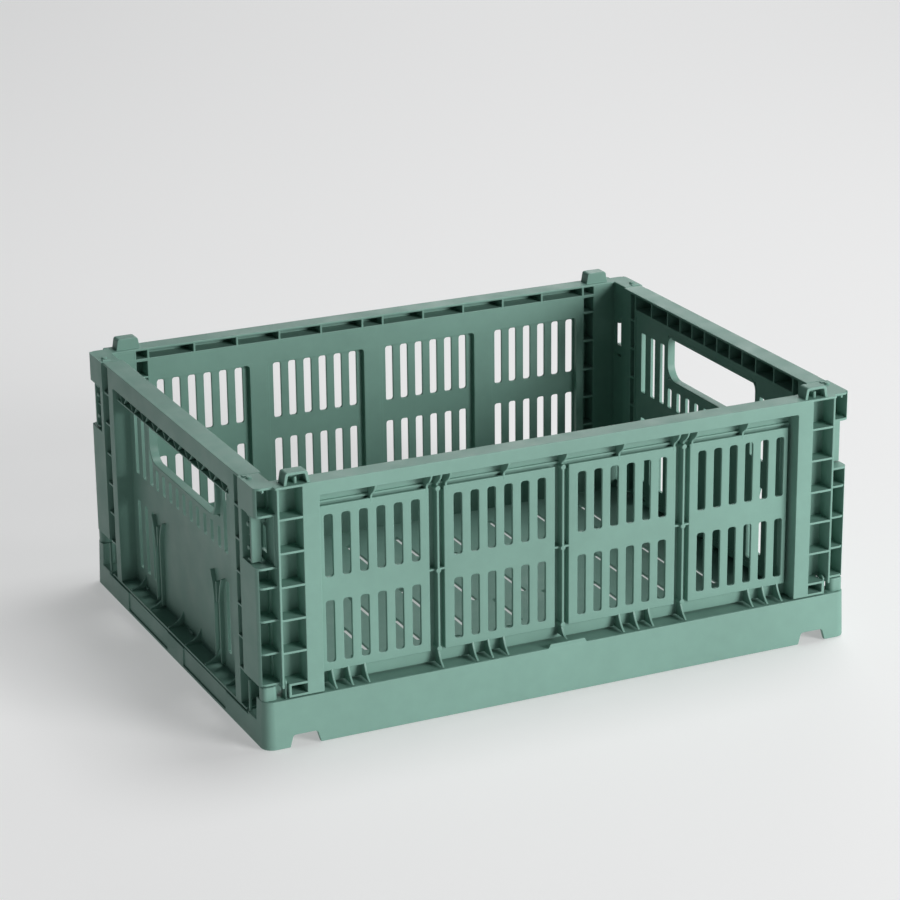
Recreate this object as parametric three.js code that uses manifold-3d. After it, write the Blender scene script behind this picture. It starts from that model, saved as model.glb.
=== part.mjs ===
// Collapsible storage crate: a base tray, two long side panels with corner posts,
// two fold-in end panels with hand holes, and four latch tongues in the corner posts.
// Millimetres, +Z up, origin at the bottom centre, long sides along X.
import * as THREE from 'three';
import { mergeVertices } from 'three/addons/utils/BufferGeometryUtils.js';
import Module from 'manifold-3d';

const wasm = await Module();
wasm.setup();

// ---------- driving dimensions ----------
const BASE_HALF_X = 172.5; // footprint half length
const BASE_HALF_Y = 132.5; // footprint half width
const BASE_DRAFT = 0.9; // each side leans in by this much up to BASE_TOP
const BASE_TOP = 26.2; // top edge of the long base walls
const BASE_CORNER_R = 6.5;
const BASE_WALL = 1.7;
const FLOOR_UNDER = 6.7;
const FLOOR_TOP = 8.3;
const END_LEDGE = 11.9; // top edge of the short base walls
const INNER_HALF_Y = 117.0; // inside face of the long base beams
const BEAM_LEDGE = 25.8; // top of the beam behind the outer lip
const FENCE_TOP = 33.4; // inside wall of the beam, which rises to the long panel's hinge line
const RECESS_X = 171.6; // shallow panels in the outside of the short walls
const RECESS_Y = [12.5, 76];
const RECESS_BOTTOM = 1.6;
const POCKET_Y = [108.5, 120]; // pocket beside each corner, open to the short side
const POCKET_FLOOR = 13.5;
const STACK_NOTCH_TOP = 6.4;
const UNDER_RIB_X = [-106, -44, 18, 80, 142];
const UNDER_RIB_Y = [-91.5, -52.5, -14.5, 23.5, 61.5, 100.5];

const RIM_TOP = 140.15;
const LUG_TOP = 146.5;
const WALL = 1.4;
const RIB = 1.3;
const LADDER_Z = [33.7, 51.3, 69.0, 86.8, 104.9, 122.8];

// long panel, measured outward from the crate's middle
const SIDE_FACE = 131.1;
const SIDE_INNER = 119.3;
const SIDE_BOTTOM = 26.8;
const GRILLE_FACE = 124.4;
const GRILLE_BACK = 122.6;
const GRILLE_Z = [34.4, 124.2];
const SIDE_RIM_UNDER = 132.8;
const BAND_X = [138.5, 147.8];
const POST_X = [161.0, 172.2];
const POST_FACE = 128.2;
const POST_BACK = 105.0;
const POST_BOTTOM = 33.9;
const NOTCH_Z = [97.9, 124.3];
const SIDE_PIN = [127.1, 34.0]; // hinge line of the long panels, as Y and Z
const LATCH_PIN = [-117.3, 120.6]; // hinge line of a front latch, as Y and Z
const RIM_RIB_X = [6.5, 32.7, 58.9, 85.1, 111.3];
const DIVIDER_X = [-71.7, 0, 71.7];
const UPPER_GUSSET_X = [33.5, 66.4, 71.7, 77.2, 108.0];
const LOWER_GUSSET_X = [34.2, 43.1, 52.0, 71.7, 113.4, 122.5, 131.6];

// end panel, measured outward from the crate's middle
const END_FACE = 171.3;
const END_INNER = 159.3;
const END_HALF_Y = 104.7;
const END_BOTTOM = 12.2;
const END_RIM_UNDER = 129.3;
const FIELD_HALF_Y = 89.6;
const END_BAND = 97.2; // outer edge of the smooth bands beside the field
const FIELD_SKIN = [160.0, 161.7];
const HINGE_X = 161.0;
const HINGE_Z = 10.8;
const HINGE_Y = [-72, 0, 72];
const HINGE_LUG = [1.6, 11.7]; // half thickness and top of the base's hinge lugs
const HINGE_HOOD = 13.0; // underside of the flange where it passes over the hinge lugs
const END_RIB_Y = [7.05, 21.5, 35.6, 50.6, 70.2];
const GRIP_RIB_Y = [14.2, 28.4, 42.6, 56.8, 71.0, 84.0];
const GRIP_FACE = 169.6; // outer edge of the grip ledge above the hand holes
const GRIP_Z = [122.6, 123.6];
const END_GUSSET_Y = [13.5, 43, 74];

// rows of drain slots in the floor: middle of the row, shift of its slots along X
const DRAIN_ROWS = [[-71.5, 2.5], [-33.5, 12.5], [4.5, 2.5], [42.5, -7.5], [80.5, 2.5]];
const DRAIN_PITCH = 31;
const DRAIN_HALF = [1.4, 17.5]; // half width and half length of a slot

const SLOT_W = 4.8;
const SLOT_PITCH = 9.6;
const SLOT_ROWS = [[39.0, 72.7], [85.6, 119.2]];

// ---------- solids ----------
function solid(geometry) {
  geometry.deleteAttribute('normal');
  geometry.deleteAttribute('uv');
  const merged = mergeVertices(geometry, 1e-4);
  return new wasm.Manifold(new wasm.Mesh({
    numProp: 3,
    vertProperties: new Float32Array(merged.attributes.position.array),
    triVerts: new Uint32Array(merged.index.array),
  }));
}

function box(x0, x1, y0, y1, z0, z1) {
  const sx = Math.abs(x1 - x0);
  const sy = Math.abs(y1 - y0);
  const sz = Math.abs(z1 - z0);
  const geometry = new THREE.BoxGeometry(sx, sy, sz);
  geometry.translate((x0 + x1) / 2, (y0 + y1) / 2, (z0 + z1) / 2);
  return solid(geometry);
}

function outline(points) {
  return new THREE.Shape(points.map(([a, b]) => new THREE.Vector2(a, b)));
}

// Turns an extrusion along +Z so that it runs along the named axis, keeping it right-handed:
// X takes (a, b) to (y, z), Y takes (a, b) to (x, z), Z takes (a, b) to (x, y).
const AXIS_TURN = {
  X: new THREE.Matrix4().set(0, 0, 1, 0, 1, 0, 0, 0, 0, 1, 0, 0, 0, 0, 0, 1),
  Y: new THREE.Matrix4().set(1, 0, 0, 0, 0, 0, -1, 0, 0, 1, 0, 0, 0, 0, 0, 1),
  Z: new THREE.Matrix4(),
};

// A prism of the outline from `from` to `to` along the axis.
function prism(axis, points, from, to) {
  const geometry = new THREE.ExtrudeGeometry(outline(points), { depth: to - from, bevelEnabled: false });
  geometry.translate(0, 0, axis === 'Y' ? -to : from);
  geometry.applyMatrix4(AXIS_TURN[axis]);
  return solid(geometry);
}

function ring(radius, a, b, sides) {
  const points = [];
  for (let i = 0; i < sides; i += 1) {
    const t = ((i + 0.5) / sides) * Math.PI * 2;
    points.push([a + radius * Math.cos(t), b + radius * Math.sin(t)]);
  }
  return points;
}

// Rectangle with its four corners rounded by `r` in `steps` chords each.
function roundedRect(a0, a1, b0, b1, r, steps) {
  const points = [];
  const centres = [[a1 - r, b0 + r, -90], [a1 - r, b1 - r, 0], [a0 + r, b1 - r, 90], [a0 + r, b0 + r, 180]];
  for (const [ca, cb, start] of centres) {
    for (let i = 0; i <= steps; i += 1) {
      const t = THREE.MathUtils.degToRad(start + (90 * i) / steps);
      points.push([ca + r * Math.cos(t), cb + r * Math.sin(t)]);
    }
  }
  return points;
}

function join(parts) {
  let pool = parts;
  while (pool.length > 1) {
    const next = [];
    for (let i = 0; i < pool.length; i += 2) {
      next.push(i + 1 < pool.length ? pool[i].add(pool[i + 1]) : pool[i]);
    }
    pool = next;
  }
  return pool[0];
}

function cut(body, tools) {
  return body.subtract(join(tools));
}

// Both mirror twins of a piece given by its distance from the middle along X.
function bothX(x0, x1, y0, y1, z0, z1) {
  return [box(x0, x1, y0, y1, z0, z1), box(-x1, -x0, y0, y1, z0, z1)];
}

function bothY(x0, x1, y0, y1, z0, z1) {
  return [box(x0, x1, y0, y1, z0, z1), box(x0, x1, -y1, -y0, z0, z1)];
}

function bothSides(places) {
  return places.flatMap((place) => [-place, place]);
}

function fourCorners(x0, x1, y0, y1, z0, z1) {
  return [...bothX(x0, x1, y0, y1, z0, z1), ...bothX(x0, x1, -y1, -y0, z0, z1)];
}

function mirroredOutline(points) {
  return points.map(([a, b]) => [-a, b]).reverse();
}

// ---------- base tray ----------
function draftedBlock(top) {
  const points = roundedRect(-BASE_HALF_X, BASE_HALF_X, -BASE_HALF_Y, BASE_HALF_Y, BASE_CORNER_R, 3);
  const geometry = new THREE.ExtrudeGeometry(outline(points), { depth: top, bevelEnabled: false });
  const position = geometry.attributes.position;
  const lean = (BASE_DRAFT * top) / BASE_TOP;
  for (let i = 0; i < position.count; i += 1) {
    if (position.getZ(i) > top / 2) {
      position.setX(i, position.getX(i) * (1 - lean / BASE_HALF_X));
      position.setY(i, position.getY(i) * (1 - lean / BASE_HALF_Y));
    }
  }
  return solid(geometry);
}

function baseTray() {
  const lipIn = BASE_HALF_Y - BASE_DRAFT - BASE_WALL;
  const endIn = BASE_HALF_X - BASE_DRAFT - BASE_WALL;
  const notch = [[-158.7, -1], [-141.3, -1], [-143.5, STACK_NOTCH_TOP], [-156.5, STACK_NOTCH_TOP]];
  const notches = [notch, mirroredOutline(notch)].flatMap((points) => [
    prism('Y', points, -140, -126),
    prism('Y', points, 126, 140),
  ]);
  const drain = [];
  const [drainHalfX, drainHalfY] = DRAIN_HALF;
  for (const [y, shift] of DRAIN_ROWS) {
    for (let k = -4; k <= 4; k += 1) {
      const x = k * DRAIN_PITCH + shift;
      drain.push(box(x - drainHalfX, x + drainHalfX, y - drainHalfY, y + drainHalfY, 0, 10));
    }
  }
  const body = cut(draftedBlock(BASE_TOP), [
    // the tray itself, and the shelf behind the lip of each long wall
    box(-endIn, endIn, -INNER_HALF_Y, INNER_HALF_Y, FLOOR_TOP, 40),
    ...bothY(-160.8, 160.8, INNER_HALF_Y - 1, lipIn, BEAM_LEDGE, 40),
    // open underside and the hollow beams along the long walls
    box(-endIn, endIn, -lipIn, lipIn, -1, FLOOR_UNDER),
    ...bothY(-156, 156, INNER_HALF_Y + 1.6, lipIn, -1, BEAM_LEDGE - 1.6),
    ...fourCorners(164.5, endIn - 0.6, 121.8, lipIn - 1.2, -1, BASE_TOP - 1.8),
    // low short walls, and the pocket beside each corner
    ...bothX(150, 180, -108.5, 108.5, END_LEDGE, 40),
    ...fourCorners(161.2, 180, ...POCKET_Y, POCKET_FLOOR, 40),
    ...fourCorners(RECESS_X, 180, ...RECESS_Y, RECESS_BOTTOM, 20),
    ...notches,
    ...drain,
  ]);
  const stub = roundedRect(163.2, 171.4, -128.9, -121.8, 2.6, 2);
  const stubBack = stub.map(([a, b]) => [a, -b]).reverse();
  const stubs = [stub, stubBack, mirroredOutline(stub), mirroredOutline(stubBack)];
  const tab = [[-12, 25], [12, 25], [10.2, 28.4], [-10.2, 28.4]];
  const ribs = [];
  for (const x of UNDER_RIB_X) {
    ribs.push(box(x - 0.7, x + 0.7, -INNER_HALF_Y - 1, INNER_HALF_Y + 1, 5.0, FLOOR_UNDER + 0.2));
  }
  for (const y of UNDER_RIB_Y) {
    ribs.push(box(-endIn - 0.3, endIn + 0.3, y - 0.7, y + 0.7, 5.3, FLOOR_UNDER + 0.4));
  }
  // ears that carry the long panels' hinge pins
  const ears = [];
  for (const side of [-1, 1]) {
    for (const end of [-1, 1]) {
      const ear = [[side * 125.0, 22.0], [side * 129.2, 22.0], [side * 129.2, 34.6], [side * 127.9, 36.2],
        [side * 126.3, 36.2], [side * 125.0, 34.6]];
      const points = side > 0 ? ear : [...ear].reverse();
      const x = [end * 158.15, end * 159.3].sort((p, q) => p - q);
      const pin = [end * 158.4, end * 160.8].sort((p, q) => p - q);
      ears.push(prism('X', points, x[0], x[1]));
      ears.push(prism('X', ring(1.2, side * SIDE_PIN[0], SIDE_PIN[1], 8), pin[0], pin[1]));
    }
  }
  // lugs and pins of the end panels' hinges
  const hinges = [];
  const [lugHalf, lugTop] = HINGE_LUG;
  for (const end of [-1, 1]) {
    for (const y of HINGE_Y) {
      const middle = end * HINGE_X;
      hinges.push(box(middle - lugHalf, middle + lugHalf, y - 6, y - 3.1, FLOOR_TOP - 0.4, lugTop));
      hinges.push(box(middle - lugHalf, middle + lugHalf, y + 3.1, y + 6, FLOOR_TOP - 0.4, lugTop));
      hinges.push(prism('Y', ring(0.95, end * HINGE_X, HINGE_Z, 8), y - 5, y + 5));
    }
  }
  return join([
    body,
    ...stubs.map((points) => prism('Z', points, 24, 33.5)),
    prism('Y', tab, -131.5, -129.7),
    prism('Y', tab, 129.7, 131.5),
    ...bothY(-156, 156, INNER_HALF_Y, INNER_HALF_Y + WALL, BEAM_LEDGE - 0.5, FENCE_TOP),
    // upright beside each pocket, between the end panel and the corner post
    ...fourCorners(170.0, 171.4, POCKET_Y[0] - 0.6, POCKET_Y[0] + 0.8, 12, 31),
    ...ribs,
    ...ears,
    ...hinges,
  ]);
}

// ---------- long panel, built as the one on the -Y side ----------
function grilleFields() {
  return [
    { x: [4.0, 67.7], first: 9.4 },
    { x: [76.0, 136.4], first: 81.2 },
  ];
}

function sidePanelCore() {
  const fields = [];
  const recesses = [];
  for (const { x, first } of grilleFields()) {
    fields.push(...bothX(x[0], x[1], -GRILLE_FACE, -SIDE_INNER, GRILLE_Z[0], GRILLE_Z[1]));
    recesses.push(...bothX(x[0] + 1.8, x[1] - 1.6, -GRILLE_BACK, -100, GRILLE_Z[0] + 1.6, GRILLE_Z[1] - 1.6));
    for (let i = 0; i < 6; i += 1) {
      const slot = first + i * SLOT_PITCH;
      for (const [z0, z1] of SLOT_ROWS) {
        recesses.push(...bothX(slot, slot + SLOT_W, -140, -100, z0, z1));
      }
    }
  }
  const skin = join([
    box(-POST_X[0], POST_X[0], -SIDE_INNER - WALL, -SIDE_INNER, SIDE_BOTTOM, SIDE_RIM_UNDER + WALL),
    box(-BAND_X[1], BAND_X[1], -SIDE_FACE, -SIDE_INNER, SIDE_RIM_UNDER, SIDE_RIM_UNDER + WALL),
    ...bothX(BAND_X[1] - WALL, POST_X[0], -SIDE_INNER - WALL, -SIDE_INNER, SIDE_RIM_UNDER, RIM_TOP),
    ...fields,
  ]);
  // the bands are open to the inside of the crate, and the hinge corners are cut back
  return cut(skin, [
    ...recesses,
    ...bothX(BAND_X[0] + WALL, BAND_X[1] - WALL, -SIDE_FACE + WALL, -100, 20, SIDE_RIM_UNDER + WALL + 1),
    ...bothX(157.8, 162, -140, -100, 20, 33.0),
    box(-12.6, 12.6, -140, -100, 20, 29.2),
  ]);
}

function sidePanelFrame() {
  const parts = [
    box(-POST_X[0] - 0.5, POST_X[0] + 0.5, -SIDE_FACE, -SIDE_INNER, RIM_TOP - WALL, RIM_TOP),
    box(-BAND_X[1], BAND_X[1], -SIDE_FACE, -SIDE_FACE + WALL, SIDE_RIM_UNDER, RIM_TOP),
  ];
  for (const x of RIM_RIB_X) {
    parts.push(...bothX(x - RIB / 2, x + RIB / 2, -SIDE_FACE, -SIDE_INNER, SIDE_RIM_UNDER, RIM_TOP));
  }
  parts.push(...bothX(BAND_X[0], BAND_X[1], -SIDE_FACE, -SIDE_FACE + WALL, SIDE_BOTTOM, RIM_TOP));
  parts.push(...bothX(BAND_X[0], BAND_X[0] + WALL, -SIDE_FACE, -SIDE_INNER, SIDE_BOTTOM, RIM_TOP));
  parts.push(...bothX(BAND_X[1] - WALL, BAND_X[1], -SIDE_FACE, -SIDE_INNER, SIDE_BOTTOM, RIM_TOP));
  for (const z of LADDER_Z) {
    const right = z === LADDER_Z[0] ? 157.8 : POST_X[0];
    parts.push(...bothX(BAND_X[0], right, -SIDE_FACE, -SIDE_INNER, z - RIB / 2, z + RIB / 2));
  }
  parts.push(...bothX(BAND_X[0], 157.8, -SIDE_FACE, -SIDE_INNER, SIDE_BOTTOM, SIDE_BOTTOM + RIB));
  parts.push(...bothX(156.4, 157.8, -SIDE_FACE, -SIDE_INNER, SIDE_BOTTOM, 34.3));
  return parts;
}

function dividersAndGussets() {
  const parts = [];
  for (const x of DIVIDER_X) {
    parts.push(box(x - 0.65, x + 0.65, -GRILLE_FACE - 1.4, -SIDE_INNER - 0.5, GRILLE_Z[0], GRILLE_Z[1]));
    parts.push(box(x - 4.4, x + 4.4, -GRILLE_FACE - 0.2, -SIDE_INNER - 0.5, 78.5, 79.7));
  }
  const upper = [[-SIDE_FACE, 133.2], [-125.2, 125.8], [-125.2, 123.6], [-119.8, 123.6], [-119.8, 133.2]];
  const lower = [[-SIDE_FACE, SIDE_BOTTOM], [-119.8, SIDE_BOTTOM], [-119.8, 35.0], [-124.4, 35.0]];
  const lowerMiddle = [[-SIDE_FACE, 29.2], [-119.8, 29.2], [-119.8, 35.0], [-125.8, 35.0]];
  for (const at of [0, ...bothSides(UPPER_GUSSET_X)]) {
    parts.push(prism('X', [...upper].reverse(), at - 0.6, at + 0.6));
  }
  for (const at of bothSides(LOWER_GUSSET_X)) {
    parts.push(prism('X', lower, at - 0.6, at + 0.6));
  }
  parts.push(prism('X', lowerMiddle, -0.6, 0.6));
  return parts;
}

// Corner post: a box open to the front in cells, with a notch for the latch tongue.
function postOutline() {
  const [x0, x1] = POST_X;
  const points = [[x0 - 0.2, -POST_BACK], [x0 - 0.2, -POST_FACE]];
  for (let i = 0; i <= 4; i += 1) {
    const t = THREE.MathUtils.degToRad(-90 + 22.5 * i);
    points.push([x1 - 3.5 + 3.5 * Math.cos(t), -POST_FACE + 3.5 + 3.5 * Math.sin(t)]);
  }
  points.push([x1, -POST_BACK]);
  return points;
}

function posts() {
  const [x0, x1] = POST_X;
  const cells = [[35.2, 50.1], [51.5, 68.1], [69.5, 86.1], [87.5, 95.6], [NOTCH_Z[1] + 1.4, RIM_TOP - WALL]];
  const pins = [];
  const bodies = [];
  for (const end of [-1, 1]) {
    const points = end > 0 ? postOutline() : mirroredOutline(postOutline());
    bodies.push(prism('Z', points, POST_BOTTOM, RIM_TOP));
    const pinHole = [end * 159.5, end * 162.0].sort((p, q) => p - q);
    pins.push(prism('X', ring(1.55, -SIDE_PIN[0], SIDE_PIN[1], 8), pinHole[0], pinHole[1]));
    const bore = [end * 160, end * 164].sort((p, q) => p - q);
    pins.push(prism('X', ring(1.3, ...LATCH_PIN, 10), bore[0], bore[1]));
  }
  const solidPosts = join([
    ...bodies,
    ...bothX(x0 - 0.8, x0 + 0.5, -SIDE_FACE, -SIDE_INNER, POST_BOTTOM - 1.6, RIM_TOP),
  ]);
  return cut(solidPosts, [
    ...cells.flatMap(([z0, z1]) => bothX(x0 + 0.5, x1 - WALL, -POST_FACE - 5, -116.6, z0, z1)),
    ...bothX(x0 + WALL, x1 - WALL, -115.2, -POST_BACK - WALL, 30, RIM_TOP - WALL),
    ...bothX(x0 + WALL, x1 + 5, -POST_FACE - 5, -109.2, NOTCH_Z[0], NOTCH_Z[1]),
    // stepped window in the inside wall, through which the latch shows
    ...bothX(x0 - 3, x0 + 1.6, -117.5, -109.4, 101.5, 115.4),
    ...bothX(x0 - 3, x0 + 1.6, -113.0, -109.4, 115.0, 119.5),
    ...pins,
  ]);
}

function lugs() {
  const shell = [[-157.2, RIM_TOP - 0.8], [-143.0, RIM_TOP - 0.8], [-144.2, LUG_TOP], [-156.0, LUG_TOP]];
  const hollow = [[-155.4, RIM_TOP], [-144.8, RIM_TOP], [-145.7, LUG_TOP - 1.5], [-154.5, LUG_TOP - 1.5]];
  const parts = [];
  for (const [outer, inner] of [[shell, hollow], [mirroredOutline(shell), mirroredOutline(hollow)]]) {
    parts.push(prism('Y', outer, -129.7, -122.0).subtract(prism('Y', inner, -135, -123.6)));
  }
  parts.push(...bothX(149.5, 150.7, -126.2, -123.0, RIM_TOP - 0.5, 143.6));
  for (const x of [-168.2, 168.2]) {
    parts.push(prism('Z', ring(1.6, x, -111.0, 8), RIM_TOP - 0.5, RIM_TOP + 1.1));
  }
  return parts;
}

function sidePanel() {
  return join([sidePanelCore(), ...sidePanelFrame(), ...dividersAndGussets(), posts(), ...lugs()]);
}

// ---------- end panel, built as the one on the +X side ----------
function endPanelShell() {
  const parts = [
    box(FIELD_SKIN[0], FIELD_SKIN[1], -FIELD_HALF_Y, FIELD_HALF_Y, END_BOTTOM, END_RIM_UNDER + WALL),
    box(END_INNER, END_FACE, -END_HALF_Y, END_HALF_Y, END_BOTTOM, END_BOTTOM + WALL),
    box(END_INNER, END_FACE, -END_HALF_Y, END_HALF_Y, RIM_TOP - WALL, RIM_TOP),
    box(END_INNER, END_FACE, -FIELD_HALF_Y, FIELD_HALF_Y, END_RIM_UNDER, END_RIM_UNDER + WALL),
    box(END_FACE - WALL, END_FACE, -END_BAND, END_BAND, END_RIM_UNDER, RIM_TOP),
    ...bothY(END_FACE - WALL, END_FACE, FIELD_HALF_Y, END_BAND, END_BOTTOM, RIM_TOP),
    ...bothY(END_INNER, END_FACE, FIELD_HALF_Y - 0.2, FIELD_HALF_Y + WALL, END_BOTTOM, RIM_TOP),
    ...bothY(END_INNER, END_FACE, END_BAND - WALL, END_BAND, END_BOTTOM, RIM_TOP),
    ...bothY(END_INNER, END_INNER + WALL, END_BAND - 0.9, END_HALF_Y, END_BOTTOM, RIM_TOP),
    // bead across the bottom of the inside face
    box(END_INNER, END_INNER + 1.2, -FIELD_HALF_Y, FIELD_HALF_Y, END_BOTTOM, 16.0),
  ];
  for (const z of LADDER_Z) {
    parts.push(...bothY(END_INNER, END_FACE, FIELD_HALF_Y, END_HALF_Y, z - RIB / 2, z + RIB / 2));
  }
  for (const y of END_RIB_Y) {
    parts.push(...bothY(END_INNER, END_FACE, y - RIB / 2, y + RIB / 2, END_RIM_UNDER, RIM_TOP));
  }
  return parts;
}

function endPanelRibs() {
  const parts = [];
  const root = FIELD_SKIN[0] + 0.5;
  const tip = END_FACE - 0.3;
  const gusset = [[root, 13], [tip, 13], [tip, 14.6], [root, 21.5]];
  for (const y of bothSides(END_GUSSET_Y)) {
    parts.push(prism('Y', gusset, y - 0.6, y + 0.6));
  }
  // raised rib beside the innermost lower slot
  parts.push(...bothY(FIELD_SKIN[1] - 0.5, 164.2, 49.4, 50.8, 15, 58));
  parts.push(...bothY(FIELD_SKIN[1] - 0.5, 164.2, 41.0, 42.2, 15, 50));
  return parts;
}

// Grip above the hand hole: a ledge that hangs from the rail on ribs.
function gripLedge() {
  const root = FIELD_SKIN[1] - 0.4;
  const parts = [box(root, GRIP_FACE, -88, 88, ...GRIP_Z)];
  for (const y of [0, ...bothSides(GRIP_RIB_Y)]) {
    parts.push(box(root, GRIP_FACE - 0.2, y - 0.6, y + 0.6, GRIP_Z[1] - 0.4, END_RIM_UNDER + 0.5));
  }
  return parts;
}

function endPanelHoles() {
  const tools = [];
  const slotPair = (y, width, z0, z1) => {
    tools.push(...bothY(150, 168, y - width / 2, y + width / 2, z0, z1));
  };
  for (const y of [57.3, 68.8, 80.3]) {
    slotPair(y, 5.0, 80.5, 117.6);
    slotPair(y, 5.0, 24.0, 64.5);
  }
  for (const y of [5.3, 15.9, 26.5, 37.1, 47.7]) {
    slotPair(y, 4.4, 80.5, 92.4);
  }
  slotPair(45.8, 4.2, 18.0, 58.0);
  return tools;
}

function handleOutline(grow) {
  const top = 124.4 + grow;
  const bottom = 98.4 - grow;
  const half = 50.0 + grow;
  const points = [];
  const corner = (a, b, r, start, steps) => {
    for (let i = 0; i <= steps; i += 1) {
      const t = THREE.MathUtils.degToRad(start + (90 * i) / steps);
      points.push([a + r * Math.cos(t), b + r * Math.sin(t)]);
    }
  };
  corner(half - 9, bottom + 9, 9, -90, 3);
  corner(half - 5, top - 5, 5, 0, 2);
  corner(-half + 5, top - 5, 5, 90, 2);
  corner(-half + 9, bottom + 9, 9, 180, 3);
  return points;
}

function endPanel() {
  const collar = prism('X', handleOutline(1.5), FIELD_SKIN[0], 164.6);
  const shell = join([...endPanelShell(), ...endPanelRibs(), collar]);
  const hinges = [];
  const arms = [];
  for (const y of HINGE_Y) {
    hinges.push(box(HINGE_X - 5, HINGE_X + 3.8, y - 6.5, y + 6.5, 8, HINGE_HOOD));
    arms.push(box(END_INNER, HINGE_X + 1.9, y - 2.7, y + 2.7, HINGE_Z, 15.4));
    arms.push(prism('Y', ring(1.95, HINGE_X, HINGE_Z, 10), y - 2.7, y + 2.7));
  }
  const cleared = cut(shell, [...hinges, ...endPanelHoles(), prism('X', handleOutline(0), 150, 168)]);
  const bores = HINGE_Y.map((y) => prism('Y', ring(1.35, HINGE_X, HINGE_Z, 8), y - 4, y + 4));
  return cut(join([cleared, ...arms, ...gripLedge()]), bores);
}

// ---------- latch tongue in the notch of a corner post ----------
function latch(end) {
  const range = (a, b) => [end * a, end * b].sort((p, q) => p - q);
  const [bar0, bar1] = range(166.1, 171.7);
  const [web0, web1] = range(162.8, 167.4);
  const [pin0, pin1] = range(161.1, 164.0);
  const section = roundedRect(bar0, bar1, -120.5, -114.1, 0.8, 2);
  return join([
    prism('Z', section, 98.6, 123.6),
    box(web0, web1, -118.2, -116.4, 118.5, 122.6),
    prism('X', ring(1.0, ...LATCH_PIN, 10), pin0, pin1),
  ]);
}

// ---------- scene graph ----------
function meshOf(name, body, colour) {
  const data = body.getMesh();
  const geometry = new THREE.BufferGeometry();
  geometry.setAttribute('position', new THREE.BufferAttribute(new Float32Array(data.vertProperties), 3));
  geometry.setIndex(new THREE.BufferAttribute(new Uint32Array(data.triVerts), 1));
  geometry.computeVertexNormals();
  const material = new THREE.MeshStandardMaterial({ color: colour, roughness: 0.5, metalness: 0 });
  const mesh = new THREE.Mesh(geometry, material);
  mesh.name = name;
  return mesh;
}

const GREEN = 0x7fa698;
const crate = new THREE.Group();

crate.add(meshOf('base_tray', baseTray(), GREEN));

const longPanel = sidePanel();
const front = new THREE.Group();
const back = new THREE.Group();
back.rotation.z = Math.PI;
front.add(meshOf('front_panel', longPanel, GREEN));
front.add(meshOf('latch_front_left', latch(-1), GREEN));
front.add(meshOf('latch_front_right', latch(1), GREEN));
back.add(meshOf('back_panel', longPanel, GREEN));
back.add(meshOf('latch_back_right', latch(-1), GREEN));
back.add(meshOf('latch_back_left', latch(1), GREEN));
crate.add(front, back);

const shortPanel = endPanel();
const left = new THREE.Group();
left.rotation.z = Math.PI;
left.add(meshOf('left_end_panel', shortPanel, GREEN));
crate.add(meshOf('right_end_panel', shortPanel, GREEN), left);

export default crate;
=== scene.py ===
import math

import bmesh
import bpy
from mathutils import Matrix, Vector


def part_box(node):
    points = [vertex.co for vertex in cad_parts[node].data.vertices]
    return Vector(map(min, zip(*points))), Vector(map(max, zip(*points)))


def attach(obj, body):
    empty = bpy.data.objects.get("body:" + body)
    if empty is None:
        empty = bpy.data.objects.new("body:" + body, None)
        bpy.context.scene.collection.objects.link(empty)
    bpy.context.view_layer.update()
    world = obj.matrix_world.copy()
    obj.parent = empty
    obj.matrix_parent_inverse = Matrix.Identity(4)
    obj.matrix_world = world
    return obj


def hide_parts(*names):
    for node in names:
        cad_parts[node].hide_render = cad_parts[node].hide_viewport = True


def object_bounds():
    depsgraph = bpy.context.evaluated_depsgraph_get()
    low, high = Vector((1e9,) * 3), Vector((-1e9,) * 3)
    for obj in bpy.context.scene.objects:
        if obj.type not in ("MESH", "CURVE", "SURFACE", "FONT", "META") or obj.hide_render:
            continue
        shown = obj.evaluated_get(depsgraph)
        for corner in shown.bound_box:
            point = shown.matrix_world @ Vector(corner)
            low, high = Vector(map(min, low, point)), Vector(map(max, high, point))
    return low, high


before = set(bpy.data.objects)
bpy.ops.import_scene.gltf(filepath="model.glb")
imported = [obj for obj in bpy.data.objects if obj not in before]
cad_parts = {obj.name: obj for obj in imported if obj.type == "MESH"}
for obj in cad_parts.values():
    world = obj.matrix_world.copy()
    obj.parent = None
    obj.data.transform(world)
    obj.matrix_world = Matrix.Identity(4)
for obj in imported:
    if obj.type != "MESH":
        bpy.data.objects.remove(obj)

cad_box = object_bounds()
MM = 0.001

# ---------- sizes taken from the frame, in millimetres ----------
panel_low, panel_high = (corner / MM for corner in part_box("front_panel"))
_, end_high = (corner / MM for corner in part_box("right_end_panel"))
_, base_high = (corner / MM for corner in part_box("base_tray"))
latch_low, latch_high = (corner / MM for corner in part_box("latch_front_right"))

FOOT_X = base_high.x  # half length of the footprint
FOOT_Y = base_high.y  # half width of the footprint
SIDE_FACE = -panel_low.y  # outer face of the long panels
SIDE_BOTTOM = panel_low.z
LUG_TOP = panel_high.z
POST_OUT = panel_high.x  # outer side of the corner posts
POST_BACK = -panel_high.y
END_FACE = end_high.x  # outer face of the end panels
END_HALF_Y = end_high.y
RIM_TOP = end_high.z

# ---------- details, in millimetres ----------
EDGE = 0.32  # usual edge radius of the mouldings
TUCK = 0.003  # by how much one body shrinks more than the one before it
TUCK_STEPS = 11  # bodies before the shrinking starts again from nothing
SHARP = 28  # degrees between two faces from which their edge is rounded
EDGE_LIMIT = 0.35  # largest edge radius, as a share of the body's thickness
TINY = 1e-4
STEP = 0.02  # how far a plate lies below the frame that it runs into
WALL = 1.4
RIB = 1.3
LADDER_Z = (33.7, 51.3, 69.0, 86.8, 104.9, 122.8)

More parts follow.
